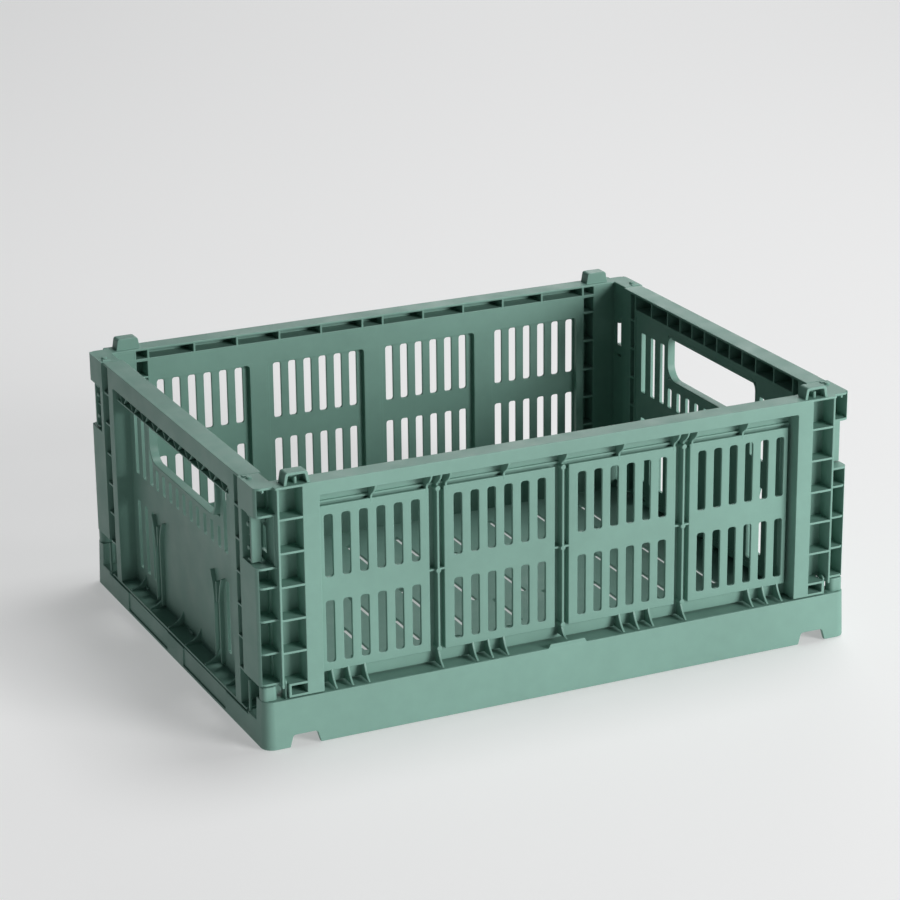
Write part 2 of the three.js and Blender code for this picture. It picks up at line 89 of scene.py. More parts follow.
SIDE_INNER = 119.3
GRILLE_FACE = 124.4
GRILLE_BACK = 122.6
GRILLE_Z = (34.4, 124.2)
FIELDS = (((4.0, 67.7), 9.4), ((76.0, 136.4), 81.2))  # edges of a slotted field, first slot
SLOT_W = 4.7
SLOT_PITCH = 9.6
SLOT_ROWS = ((39.0, 72.7), (85.6, 119.2))
SLOT_ROUND = 1.4
FIELD_ROUND = 2.2  # corner radius of the opening behind a field
DIVIDER_X = 71.7  # middle of the rib between two fields
RIM_RIBS = (6.5, 32.7, 58.9, 85.1, 111.3)  # ribs across the hollow rim
UPPER_GUSSETS = (33.5, 66.4, DIVIDER_X, 77.2, 108.0)
LOWER_GUSSETS = (34.2, 43.1, 52.0, DIVIDER_X, 113.4, 122.5, 131.6)
GUSSET_HALF = 0.6  # half the thickness of a gusset
SIDE_RIM_UNDER = 132.8
BAND = (138.5, 147.8)
LADDER_END = 157.8  # where the panel's lower part ends, beside the base's hinge ear
POST_IN = 161.0
POST_FACE = 128.2
POST_ROUND = 3.5
POST_BOTTOM = 33.9
NOTCH_Z = (97.9, 124.3)
NOTCH_BACK = 109.2
POST_WINDOW = (-117.5, -109.4, 101.5, 115.4)  # opening towards the inside, behind the latch
POST_STEP = (-113.0, -109.4, 115.0, 119.5)  # narrower part on top of the window
POST_SLIT = (-117.0, -110.2, 94.4, 96.0)
LUG_FOOT = (143.0, 157.2)  # outer ends of a rim lug where it stands on the rim
LUG_HOLLOW = (144.6, 155.6)
LATCH_PIN = (-117.3, 120.6)  # hinge line of a front latch, as Y and Z
STUD_Z = (118.0, 105.6)

END_INNER = 159.3
END_BOTTOM = 12.2
END_RIM_UNDER = 129.3
FIELD_HALF_Y = 89.6
FIELD_SKIN = (160.0, 161.7)
END_BAND = 97.2  # outer edge of the smooth bands beside the field
GRIP_FACE = 169.6  # outer edge of the grip ledge above the hand holes
GRIP_Z = (122.6, 123.6)
HINGE_X = 161.0
HINGE_Z = 10.8
HINGE_Y = (-72.0, 0.0, 72.0)
HINGE_LUG_TOP = 11.7
HINGE_HOOD = 13.0  # underside of the end panels where they pass over the hinge lugs
HINGE_GAP = 6.5  # half width of the end panels' cut-outs for the hinge lugs
HINGE_LUG = (3.1, 6.0)  # distances from the middle of a hinge to the two sides of a lug
KNUCKLE_HALF = 2.7
HAND_HOLE = (-50.4, 50.4, 98.0, 124.8)
TALL_SLOTS = (57.3, 68.8, 80.3)  # middles of the tall slots on one side
TALL_SLOT_HALF = 2.5
TALL_SLOT_ROWS = ((80.5, 117.6), (24.0, 64.5))
SHORT_SLOTS = (5.3, 15.9, 26.5, 37.1, 47.7)  # middles of the short slots on one side
SHORT_SLOT_HALF = 2.2
SHORT_SLOT_Z = (80.5, 92.4)
INNER_SLOT = (43.7, 47.9, 18.0, 49.0)
RAIL_RIBS = (7.05, 21.5, 35.6, 50.6, 70.2)  # ribs across the hollow rail
END_GUSSETS = (13.5, 43.0, 74.0)
END_GUSSET_TOP = 21.8
GRIP_END = 88.0
GRIP_PITCH = 8.8  # of the zigzag ribs
GRIP_LEAN = 6.5  # how far each one leans
GRIP_RIB = 0.9
GUIDE_RIBS = ((41.4, 42.6), (49.2, 50.4))  # raised ribs on both sides of the inner slot
GUIDE_Z = (15.0, 51.0)
GUIDE_MIDDLE = 45.8

BASE_TOP = 26.2
BASE_DRAFT = 0.9
BASE_ROUND = 6.5
BASE_WALL = 2.3
FLOOR = (6.7, 8.3)
END_LEDGE = 11.9
RECESS_X = 171.6
RECESS_BOTTOM = 1.6
FENCE_TOP = 33.4
POCKET_Y = (108.5, 120.0)  # low part of the short wall beside each corner
POCKET_FLOOR = 13.5
RECESS_Y = (12.5, 76.0)  # recessed part of the short wall
ABOVE_ALL = 40  # height that a cut-out open at its top reaches
DRAIN_ROWS = ((-71.5, 2.5), (-33.5, 12.5), (4.5, 2.5), (42.5, -7.5), (80.5, 2.5))  # middle, shift on X
DRAIN_PITCH = 31.0
DRAIN_HALF = (1.4, 17.5)
BEAM_IN = 117.0
BEAM_LEDGE = 25.8
BEAM_HALF_X = 162
FENCE_HALF_X = 156
FLOOR_RIBS_X = (-106, -44, 18, 80, 142)
FLOOR_RIBS_Y = (-91.5, -52.5, -14.5, 23.5, 61.5, 100.5)
FLOOR_RIB_HALF = 0.7
NOTCH_X = 150.05  # middle of a stacking notch
NOTCH_HALF = 6.5  # half its width at the top
NOTCH_FLARE = 1.9  # how much further out each side lies at the foot
NOTCH_TOP = 6.4
EAR_X = (158.15, 159.3)
SIDE_PIN = (127.1, 34.0)  # hinge line of a long panel, as |Y| and Z


# ---------- outlines ----------
def arc(a, b, radius, start, end, steps=6):
    """Points of an arc about (a, b), from one angle to another in degrees."""
    turns = [math.radians(start + (end - start) * i / steps) for i in range(steps + 1)]
    return [(a + radius * math.cos(t), b + radius * math.sin(t)) for t in turns]


def circle(a, b, radius):
    return arc(a, b, radius, 0, 345, 23)


def curve(start, control, end, steps=6):
    """Points of a quadratic curve."""
    points = []
    for i in range(steps + 1):
        t = i / steps
        points.append(tuple(
            (1 - t) ** 2 * p + 2 * t * (1 - t) * c + t * t * q
            for p, c, q in zip(start, control, end)))
    return points


def rounded(a0, a1, b0, b1, low, high=None, steps=6):
    """Rectangle with corners of one radius along its low side and another along its high side."""
    high = low if high is None else high
    return (arc(a1 - low, b0 + low, low, -90, 0, steps)
            + arc(a1 - high, b1 - high, high, 0, 90, steps)
            + arc(a0 + high, b1 - high, high, 90, 180, steps)
            + arc(a0 + low, b0 + low, low, 180, 270, steps))


# ---------- round-edged plastic bodies ----------
TURN = {
    "X": Matrix(((0, 0, 1, 0), (1, 0, 0, 0), (0, 1, 0, 0), (0, 0, 0, 1))),
    "Y": Matrix(((1, 0, 0, 0), (0, 0, 1, 0), (0, 1, 0, 0), (0, 0, 0, 1))),
    "Z": Matrix.Identity(4),
}
FLIP_X = Matrix.Scale(-1, 4, (1, 0, 0))
FLIP_Y = Matrix.Scale(-1, 4, (0, 1, 0))
HALF_TURN = Matrix.Rotation(math.pi, 4, "Z")


class Mould:
    """Gathers closed bodies with rounded edges, in millimetres."""

    def __init__(self):
        self.points = []
        self.faces = []
        self.bodies = 0

    def take(self, part, edge, turn=None, keep=None, shape=None):
        """Rounds the sharp edges of a closed bmesh, except those that `keep` picks, and adds it.

        Each body shrinks a little, by up to 0.03 mm, so that neighbours don't lie face on face."""
        bmesh.ops.recalc_face_normals(part, faces=part.faces)
        self.bodies += 1
        tuck = TUCK * (self.bodies % TUCK_STEPS)
        for vertex, normal in [(vertex, vertex.normal.copy()) for vertex in part.verts]:
            vertex.co -= normal * tuck
        if edge > 0:
            sharp = [e for e in part.edges if e.calc_face_angle(0) > math.radians(SHARP)]
            sharp = [e for e in sharp if keep is None or not keep(e)]
            bmesh.ops.bevel(part, geom=sharp, offset=edge, segments=2, profile=0.5,
                            affect="EDGES", clamp_overlap=True)
        if shape is not None:
            for vertex in part.verts:
                vertex.co = shape(vertex.co)
        if turn is not None:
            bmesh.ops.transform(part, matrix=turn, verts=part.verts)
            bmesh.ops.recalc_face_normals(part, faces=part.faces)
        part.verts.index_update()
        first = len(self.points)
        self.points += [vertex.co.copy() for vertex in part.verts]
        self.faces += [[first + v.index for v in face.verts] for face in part.faces]
        part.free()

    def add(self, other, turn):
        """Adds a turned or mirrored copy of another mould."""
        first = len(self.points)
        self.points += [turn @ point for point in other.points]
        mirrored = turn.determinant() < 0
        for face in other.faces:
            copy = [first + i for i in face]
            self.faces.append(copy[::-1] if mirrored else copy)

    def box(self, x, y, z, edge=EDGE):
        part = bmesh.new()
        size = Vector((abs(x[1] - x[0]), abs(y[1] - y[0]), abs(z[1] - z[0])))
        centre = Vector((sum(x) / 2, sum(y) / 2, sum(z) / 2))
        place = Matrix.Translation(centre) @ Matrix.Diagonal((*size, 1))
        bmesh.ops.create_cube(part, size=1, matrix=place)
        self.take(part, min(edge, min(size) * EDGE_LIMIT))

    def prism(self, axis, outline, span, edge=EDGE):
        """Outline in the two other axes, in X, Y, Z order, run along the axis."""
        part = bmesh.new()
        low = [part.verts.new((a, b, min(span))) for a, b in outline]
        high = [part.verts.new((a, b, max(span))) for a, b in outline]
        part.faces.new(low[::-1])
        part.faces.new(high)
        for i in range(len(outline)):
            j = (i + 1) % len(outline)
            part.faces.new((low[i], low[j], high[j], high[i]))
        self.take(part, min(edge, abs(span[1] - span[0]) * EDGE_LIMIT), TURN[axis])

    def rod(self, axis, a, b, radius, span, edge=EDGE):
        self.prism(axis, circle(a, b, radius), span, edge)

    def sleeve(self, axis, outer, inner, span, edge=EDGE):
        """Tube between two outlines with the same number of points."""
        part = bmesh.new()
        rings = ((outer, span[0]), (outer, span[1]), (inner, span[1]), (inner, span[0]))
        loops = [[part.verts.new((a, b, level)) for a, b in outline] for outline, level in rings]
        for i in range(len(outer)):
            j = (i + 1) % len(outer)
            for this, following in zip(loops, loops[1:] + loops[:1]):
                part.faces.new((this[i], this[j], following[j], following[i]))
        self.take(part, edge, TURN[axis])

    def plate(self, axis, a, b, span, holes=(), edge=EDGE, extra=(), keep=None, shape=None):
        """Rectangle with rectangular holes, and with extra edges across a.

        A hole is (a0, a1, b0, b1, corner radius on the low side, corner radius on the high side)."""
        cuts_a = sorted({*a, *extra, *(v for hole in holes for v in hole[:2] if a[0] < v < a[1])})
        cuts_b = sorted({*b, *(v for hole in holes for v in hole[2:4] if b[0] < v < b[1])})

        def solid(i, j):
            if not (0 <= i < len(cuts_a) - 1 and 0 <= j < len(cuts_b) - 1):
                return False
            p = (cuts_a[i] + cuts_a[i + 1]) / 2
            q = (cuts_b[j] + cuts_b[j + 1]) / 2
            return not any(h[0] < p < h[1] and h[2] < q < h[3] for h in holes)

        part = bmesh.new()
        made = {}

        def corner(i, j, level):
            if (i, j, level) not in made:
                made[i, j, level] = part.verts.new((cuts_a[i], cuts_b[j], span[level]))
            return made[i, j, level]

        for i in range(len(cuts_a) - 1):
            for j in range(len(cuts_b) - 1):
                if not solid(i, j):
                    continue
                square = ((i, j), (i + 1, j), (i + 1, j + 1), (i, j + 1))
                part.faces.new([corner(*c, 0) for c in square[::-1]])
                part.faces.new([corner(*c, 1) for c in square])
                beside = ((i, j - 1), (i + 1, j), (i, j + 1), (i - 1, j))
                for side, (c, d) in enumerate(zip(square, square[1:] + square[:1])):
                    if not solid(*beside[side]):
                        part.faces.new((corner(*c, 0), corner(*d, 0), corner(*d, 1), corner(*c, 1)))
        bmesh.ops.recalc_face_normals(part, faces=part.faces)
        radii = {}
        for hole in holes:
            for p in hole[:2]:
                for q, radius in zip(hole[2:4], hole[4:6]):
                    radii[round(p, 3), round(q, 3)] = radius
        for radius in sorted(set(radii.values()) - {0}):
            upright = [e for e in part.edges
                       if (e.verts[0].co - e.verts[1].co).xy.length < TINY
                       and radii.get((round(e.verts[0].co.x, 3), round(e.verts[0].co.y, 3))) == radius]
            bmesh.ops.bevel(part, geom=upright, offset=radius, segments=5, profile=0.5,
                            affect="EDGES", clamp_overlap=True)
        self.take(part, edge, TURN[axis], keep, shape)

    def piece(self, name, material, body, *nodes, turn=None):
        """Makes the object, rides it on its body and lets it stand for the CAD nodes."""
        mesh = bpy.data.meshes.new(name)
        mesh.from_pydata([point * MM for point in self.points], [], self.faces)
        if turn is not None:
            mesh.transform(turn)
        mesh.polygons.foreach_set("use_smooth", [True] * len(mesh.polygons))
        mesh.materials.append(material)
        made = bpy.data.objects.new(name, mesh)
        bpy.context.scene.collection.objects.link(made)
        normals = made.modifiers.new("even shading", "WEIGHTED_NORMAL")
        normals.weight = 100
        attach(made, body)
        if nodes:
            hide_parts(*nodes)


# ---------- materials ----------
def plastic(name, colour, seed):
    """Moulded satin plastic: slow tone drift, faint flow streaks, fine grain, and a painted highlight that
    lightens the edges.
    """
    material = bpy.data.materials.new(name)
    material.use_nodes = True
    nodes = material.node_tree.nodes
    links = material.node_tree.links
    shader = nodes["Principled BSDF"]
    place = nodes.new("ShaderNodeTexCoord").outputs["Object"]

    def noise(scale, detail, stretch=(1, 1, 1)):
        mapping = nodes.new("ShaderNodeMapping")
        mapping.inputs["Location"].default_value = (seed, seed * 0.7, seed * 1.3)
        mapping.inputs["Scale"].default_value = stretch
        texture = nodes.new("ShaderNodeTexNoise")
        texture.inputs["Scale"].default_value = scale
        texture.inputs["Detail"].default_value = detail
        links.new(place, mapping.inputs["Vector"])
        links.new(mapping.outputs["Vector"], texture.inputs["Vector"])
        return texture.outputs["Fac"]

    def ramp(value, low, high, from_min=0.3, from_max=0.7):
        step = nodes.new("ShaderNodeMapRange")
        step.inputs["From Min"].default_value = from_min
        step.inputs["From Max"].default_value = from_max
        step.inputs["To Min"].default_value = low
        step.inputs["To Max"].default_value = high
        links.new(value, step.inputs["Value"])
        return step.outputs["Result"]

    def times(first, second):
        product = nodes.new("ShaderNodeMath")
        product.operation = "MULTIPLY"
        links.new(first, product.inputs[0])
        links.new(second, product.inputs[1])
        return product.outputs["Value"]

    drift = ramp(noise(scale=11, detail=3), low=0.93, high=1.06)
    streaks = ramp(noise(scale=16, detail=2, stretch=(1, 1, 0.18)), low=0.97, high=1.03)
    mottle = ramp(noise(scale=140, detail=4), low=0.975, high=1.025)
    # painted highlight on the edges: colour is lightened up to 1.2 times where the rounded Bevel normal
    # turns away from the flat normal, standing in for light caught on rounded edges
    rounded_normal = nodes.new("ShaderNodeBevel")
    rounded_normal.samples = 4
    rounded_normal.inputs["Radius"].default_value = 0.0007
    flat = nodes.new("ShaderNodeNewGeometry")
    agreement = nodes.new("ShaderNodeVectorMath")
    agreement.operation = "DOT_PRODUCT"
    links.new(rounded_normal.outputs["Normal"], agreement.inputs[0])
    links.new(flat.outputs["Normal"], agreement.inputs[1])
    painted_edge_highlight = ramp(agreement.outputs["Value"], low=1.2, high=1.0, from_min=0.8, from_max=0.99)
    tone = times(times(drift, streaks), times(mottle, painted_edge_highlight))
    tint = nodes.new("ShaderNodeVectorMath")
    tint.operation = "SCALE"
    tint.inputs[0].default_value = colour
    links.new(tone, tint.inputs["Scale"])
    links.new(tint.outputs["Vector"], shader.inputs["Base Color"])
    gloss = ramp(noise(scale=60, detail=3), low=0.42, high=0.56)
    links.new(gloss, shader.inputs["Roughness"])
    shader.inputs["IOR"].default_value = 1.49
    shader.inputs["Specular IOR Level"].default_value = 0.36

    grain = nodes.new("ShaderNodeBump")
    grain.inputs["Strength"].default_value = 0.12
    grain.inputs["Distance"].default_value = 0.00015
    links.new(noise(scale=1500, detail=2), grain.inputs["Height"])
    waves = nodes.new("ShaderNodeBump")
    waves.inputs["Strength"].default_value = 0.25
    waves.inputs["Distance"].default_value = 0.0008
    links.new(noise(scale=38, detail=1), waves.inputs["Height"])
    links.new(grain.outputs["Normal"], waves.inputs["Normal"])
    links.new(waves.outputs["Normal"], shader.inputs["Normal"])
    return material


GREEN = (0.169, 0.311, 0.259)
panel_plastic = plastic("panel_plastic", GREEN, seed=3.1)
end_plastic = plastic("end_plastic", GREEN, seed=7.7)
base_plastic = plastic("base_plastic", GREEN, seed=12.9)
latch_plastic = plastic("latch_plastic", GREEN, seed=21.4)


# ---------- long panel, made as the one on the -Y side ----------
def grille(mould):
    recesses = []
    for (x0, x1), first in FIELDS:
        slots = []
        for row in SLOT_ROWS:
            for i in range(6):
                x = first + i * SLOT_PITCH
                slots.append((x, x + SLOT_W, *row, SLOT_ROUND, SLOT_ROUND))
        recess = (x0 + 1.8, x1 - 1.6, GRILLE_Z[0] + 1.6, GRILLE_Z[1] - 3.4, FIELD_ROUND, FIELD_ROUND)
        recesses += [recess, (-recess[1], -recess[0], *recess[2:])]
        field = Mould()
        field.plate("Y", (x0, x1), GRILLE_Z, (-GRILLE_FACE, -GRILLE_BACK), slots, edge=0.4)
        field.plate("Y", (x0, x1), (GRILLE_Z[0], GRILLE_Z[1] - 2.6),
                    (-GRILLE_BACK - 0.3, -SIDE_INNER - 0.05), [recess], edge=0.25)
        mould.add(field, Matrix.Identity(4))
        mould.add(field, FLIP_X)
    bands = [(BAND[0] + WALL, BAND[1] - WALL, SIDE_BOTTOM + RIB, SIDE_RIM_UNDER - 0.4, 0, 0)]
    bands.append((-bands[0][1], -bands[0][0], *bands[0][2:]))
    mould.plate("Y", (-LADDER_END, LADDER_END), (SIDE_BOTTOM, SIDE_RIM_UNDER + WALL),
                (-SIDE_INNER - WALL, -SIDE_INNER), recesses + bands, edge=0.3)


def side_half(half):
    """Everything on the long panel that repeats on both sides of its middle."""
    # walls of the edge band, which is open to the inside
    behind = (-SIDE_FACE + 0.6, -SIDE_INNER)
    half.box((BAND[0] + STEP, BAND[0] + WALL), behind, (SIDE_BOTTOM + STEP, RIM_TOP - 0.6))
    half.box((BAND[1] - WALL, BAND[1] - STEP), behind, (SIDE_BOTTOM + STEP, RIM_TOP - 0.6))
    half.box((BAND[1] - 1, POST_IN + 1.2), (-SIDE_FACE + STEP, -SIDE_INNER - STEP),
             (RIM_TOP - WALL + STEP, RIM_TOP - 1.5 * STEP), edge=0.4)
    half.box((BAND[1] - 1, POST_IN), (-SIDE_INNER - WALL, -SIDE_INNER - STEP),
             (SIDE_RIM_UNDER, RIM_TOP - 0.6))
    # ladder of ribs from the band to the corner post
    for z in LADDER_Z:
        reach = LADDER_END if z == LADDER_Z[0] else POST_IN
        half.box((BAND[0] + 0.3, reach), (-SIDE_FACE + 0.1, -SIDE_INNER - 0.05),
                 (z - RIB / 2, z + RIB / 2), edge=0.25)
    half.box((BAND[0] + 0.3, LADDER_END), (-SIDE_FACE + 0.1, -SIDE_INNER),
             (SIDE_BOTTOM, SIDE_BOTTOM + RIB), edge=0.25)
    half.box((156.4, LADDER_END), (-SIDE_FACE + 0.1, -SIDE_INNER), (SIDE_BOTTOM, 34.3), edge=0.25)
    half.box((157.4, POST_IN), (-SIDE_INNER - WALL, -SIDE_INNER), (33.2, RIM_TOP - 0.4))
    # ribs across the hollow rim
    for x in RIM_RIBS:
        half.box((x - RIB / 2, x + RIB / 2), (-SIDE_FACE + 0.4, -SIDE_INNER),
                 (SIDE_RIM_UNDER + 0.4, RIM_TOP - 0.3), edge=0.25)
    for x in UPPER_GUSSETS:
        upper_gusset(half, x)
    for x in LOWER_GUSSETS:
        lower_gusset(half, x, SIDE_BOTTOM)
    divider(half, DIVIDER_X)
    # thin ledge on the wall above each field
    for (x0, x1), _ in FIELDS:
        half.box((x0 - 3.5, x1 + 2), (-SIDE_INNER - WALL - 1.3, -SIDE_INNER - 0.6),
                 (124.8, 126.2), edge=0.35)
    # small ejector mark inside
    half.rod("Y", 71.4, 79.0, 0.9, (-SIDE_INNER - 0.5, -SIDE_INNER), edge=0.1)
    corner_post(half)
    lug(half)


def divider(mould, x):
    low, high = GRILLE_Z
    mould.box((x - 0.65, x + 0.65), (-GRILLE_FACE - 1.5, -SIDE_INNER - 0.6), (low + 0.6, high), edge=0.3)
    mould.box((x - 4.6, x + 4.6), (-GRILLE_FACE + 0.1, -SIDE_INNER - 0.6), (78.5, 79.7), edge=0.3)
    for z in (low + 1.4, 79.1, high - 0.4):
        mould.rod("Y", x, z, 1.45, (-GRILLE_FACE - 1.7, -SIDE_INNER - 0.6), edge=0.35)


def upper_gusset(mould, x):
    front = curve((-SIDE_FACE + 0.2, SIDE_RIM_UNDER + 0.3), (-129.6, 129.4), (-127.0, 127.8), 3)
    front += curve((-126.4, 127.4), (-124.5, 126.2), (-124.5, 124.4), 3)
    outline = front + [(-124.5, 121.9), (-SIDE_INNER - 0.6, 121.9),
                       (-SIDE_INNER - 0.6, SIDE_RIM_UNDER + 0.3)]
    mould.prism("X", outline, (x - GUSSET_HALF, x + GUSSET_HALF), edge=0.25)


def lower_gusset(mould, x, bottom):
    front = curve((-GRILLE_FACE - 0.1, 35.2), (-126.4, 29.6), (-SIDE_FACE + 0.3, bottom), 6)
    outline = front + [(-SIDE_INNER - 0.6, bottom), (-SIDE_INNER - 0.6, 35.2)]
    mould.prism("X", outline, (x - GUSSET_HALF, x + GUSSET_HALF), edge=0.25)


def post_outline(back, inset=0.6):
    """Level cut through the post, which ends inside its outer wall."""
    side = POST_OUT - inset
    bow = arc(side - POST_ROUND, -POST_FACE + POST_ROUND, POST_ROUND, -90, 0, 6)
    return [(POST_IN - 0.2, back), (POST_IN - 0.2, -POST_FACE), *bow, (side, back)]


def corner_post(half):
    """Open-fronted cells, a notch for the latch, and smooth walls to the side and to the inside."""
    # wall between the ladder and the post, standing out to the panel's face
    half.box((POST_IN - 0.8, POST_IN + 0.5), (-SIDE_FACE, -SIDE_INNER),
             (POST_BOTTOM - 1.6, RIM_TOP), edge=0.35)
    # wall towards the inside, and its front part beside the notch
    openings = [(*POST_WINDOW, 0.8, 0.8), (*POST_STEP, 0.0, 0.8), (*POST_SLIT, 0.4, 0.4)]
    half.plate("X", (-119.6, -POST_BACK), (POST_BOTTOM, RIM_TOP - 0.2),
               (POST_IN - 0.2, POST_IN + WALL), openings, edge=0.3)
    beside_notch = (NOTCH_Z[0] - 1, NOTCH_Z[1] + 1)
    half.box((POST_IN - 0.2, POST_IN + WALL), (-POST_FACE + 0.3, -117.4), beside_notch, edge=0.3)
    # outer side wall, below and above the notch
    for z in ((POST_BOTTOM, NOTCH_Z[0]), (NOTCH_Z[1], RIM_TOP)):
        bow = arc(POST_OUT - POST_ROUND, -POST_FACE + POST_ROUND, POST_ROUND, -52, 0, 5)
        outline = [(POST_OUT - WALL, -POST_BACK), (POST_OUT - WALL, bow[0][1]), *bow, (POST_OUT, -POST_BACK)]
        half.prism("Z", outline, z, edge=0.35)
    half.box((POST_OUT - WALL, POST_OUT), (-NOTCH_BACK, -POST_BACK), beside_notch)
    half.box((POST_IN, POST_OUT - 0.3), (-NOTCH_BACK, -NOTCH_BACK + WALL), beside_notch)
    half.box((POST_IN, POST_OUT), (-POST_BACK - WALL, -POST_BACK), (POST_BOTTOM, RIM_TOP - 0.2))
    half.box((POST_IN, POST_OUT - 0.5), (-116.6, -115.2), (POST_BOTTOM + 0.5, NOTCH_Z[0]))
    half.box((POST_IN, POST_OUT - 0.5), (-116.6, -115.2), (NOTCH_Z[1], RIM_TOP - 0.5))
    # shelves of the front cells
    for z in (POST_BOTTOM, *(level - RIB / 2 for level in LADDER_Z[1:4])):
        half.prism("Z", post_outline(-115.4), (z, z + RIB), edge=0.3)
    for z in (NOTCH_Z[0] - WALL, NOTCH_Z[1]):
        half.prism("Z", post_outline(-POST_BACK, 0.05), (z, z + WALL), edge=0.35)
    half.prism("Z", post_outline(-POST_BACK), (RIM_TOP - WALL, RIM_TOP - STEP), edge=0.4)
    # bored hub for the latch pin
    hub = [circle(*LATCH_PIN, radius) for radius in (2.4, 1.3)]
    half.sleeve("X", *hub, (POST_IN + 1, 162.7), edge=0.15)
    # rib under the top of the post, and the peg and stop on it
    half.box((166.8, 168.0), (-127.5, -116.0), (137.2, RIM_TOP - 0.6), edge=0.3)
    half.rod("Z", 168.2, -111.0, 1.5, (RIM_TOP - 0.5, RIM_TOP + 1.0), edge=0.4)
    half.box((166.0, 170.6), (-108.6, -106.4), (RIM_TOP - 0.4, RIM_TOP + 0.5), edge=0.3)


def lug(half):
    """Hollow lug on the rim that enters the notch of the crate above."""
    foot = RIM_TOP - 0.6
    outer = [(LUG_FOOT[1], foot),
             *arc(154.7, LUG_TOP - 1.6, 1.6, 8, 90, 4),
             *arc(145.5, LUG_TOP - 1.6, 1.6, 90, 172, 4),
             (LUG_FOOT[0], foot)]
    inner = [(LUG_HOLLOW[0], foot),
             *arc(146.3, LUG_TOP - 2.3, 0.8, 172, 90, 4),
             *arc(153.9, LUG_TOP - 2.3, 0.8, 90, 8, 4),
             (LUG_HOLLOW[1], foot)]
    half.prism("Y", outer + inner, (-129.7, -122.3), edge=0.3)
    half.prism("Y", outer, (-123.7, -122.0), edge=0.3)
    half.box((149.5, 150.7), (-127.4, -123.0), (RIM_TOP - 0.5, 142.4), edge=0.25)
    half.rod("Z", 150.1, -127.0, 0.95, (RIM_TOP - 0.5, 143.4), edge=0.35)


def long_panel():
    mould = Mould()
    grille(mould)
    half = Mould()
    side_half(half)
    mould.add(half, Matrix.Identity(4))
    mould.add(half, FLIP_X)
    divider(mould, 0.0)
    upper_gusset(mould, 0.0)
    lower_gusset(mould, 0.0, 29.2)
    # outer frame in one: the flange of the rim and both edge bands
    gap = (-BAND[0], BAND[0], SIDE_BOTTOM - 1, SIDE_RIM_UNDER, 0, 1.0)
    mould.plate("Y", (-BAND[1], BAND[1]), (SIDE_BOTTOM, RIM_TOP),
                (-SIDE_FACE, -SIDE_FACE + WALL), [gap], edge=0.45)
    # rim: top plate and the plate under its hollow
    mould.box((-POST_IN - 1.5, POST_IN + 1.5), (-SIDE_FACE + 0.6, -SIDE_INNER),
              (RIM_TOP - WALL, RIM_TOP - STEP), edge=0.4)
    mould.box((-BAND[1] + 0.5, BAND[1] - 0.5), (-SIDE_FACE + 0.6, -SIDE_INNER + STEP),
              (SIDE_RIM_UNDER + STEP, SIDE_RIM_UNDER + WALL), edge=0.3)
    return mould


# ---------- latch, made as the one at the front right ----------
def latch():
    """Tongue with a flat front plate, hollow to the outer side, where two small studs show."""
    mould = Mould()
    low, high = latch_low, latch_high
    bar = 166.1  # inner side of the tongue
    plate_back = low.y + 1.7
    corner = arc(high.x - 0.8, low.y + 0.8, 0.8, -90, 0, 4)
    front = [(bar, low.y), *corner, (high.x, plate_back), (bar, plate_back)]
    mould.prism("Z", front, (low.z, high.z), edge=0.4)
    # inner wall, and the plates that close the hollow at its top and foot
    mould.box((bar + 0.05, bar + 1.3), (plate_back - 0.5, high.y - 0.1),
              (low.z + 0.3, high.z - 0.1), edge=0.3)
    for z in (low.z + 0.1, high.z - 1.2):
        mould.box((bar + 0.1, high.x - 0.4), (plate_back - 0.5, high.y), (z, z + 1.1), edge=0.35)
    # stem that runs to the pin, the pin, and the studs and rib inside the hollow
    mould.box((162.8, 167.4), (-118.2, -116.4), (118.5, 122.6), edge=0.3)
    mould.rod("X", *LATCH_PIN, 1.0, (162.5, 164.0), edge=0.2)
    for z in STUD_Z:
        mould.rod("X", high.y - 1.6, z, 1.3, (bar + 1.0, high.x - 0.1), edge=0.4)
    mould.box((bar + 1.0, high.x - 1.2), (plate_back - 0.3, high.y - 0.3), (111.7, 112.6), edge=0.25)
    return mould


# ---------- end panel, made as the one on the +X side ----------
def end_holes():
    """Hand hole, tall slots in two rows, short slots under the hand hole, and one inner slot."""
    holes = [(*HAND_HOLE, 9.4, 5.4)]
    for side in (-1, 1):
        for y in TALL_SLOTS:
            edges = sorted((side * (y - TALL_SLOT_HALF), side * (y + TALL_SLOT_HALF)))
            for row in TALL_SLOT_ROWS:
                holes.append((*edges, *row, 1.8, 1.8))
        for y in SHORT_SLOTS:
            edges = sorted((side * (y - SHORT_SLOT_HALF), side * (y + SHORT_SLOT_HALF)))
            holes.append((*edges, *SHORT_SLOT_Z, 1.5, 1.5))
        edges = sorted((side * INNER_SLOT[0], side * INNER_SLOT[1]))
        holes.append((*edges, *INNER_SLOT[2:], 1.5, 1.5))
    return holes


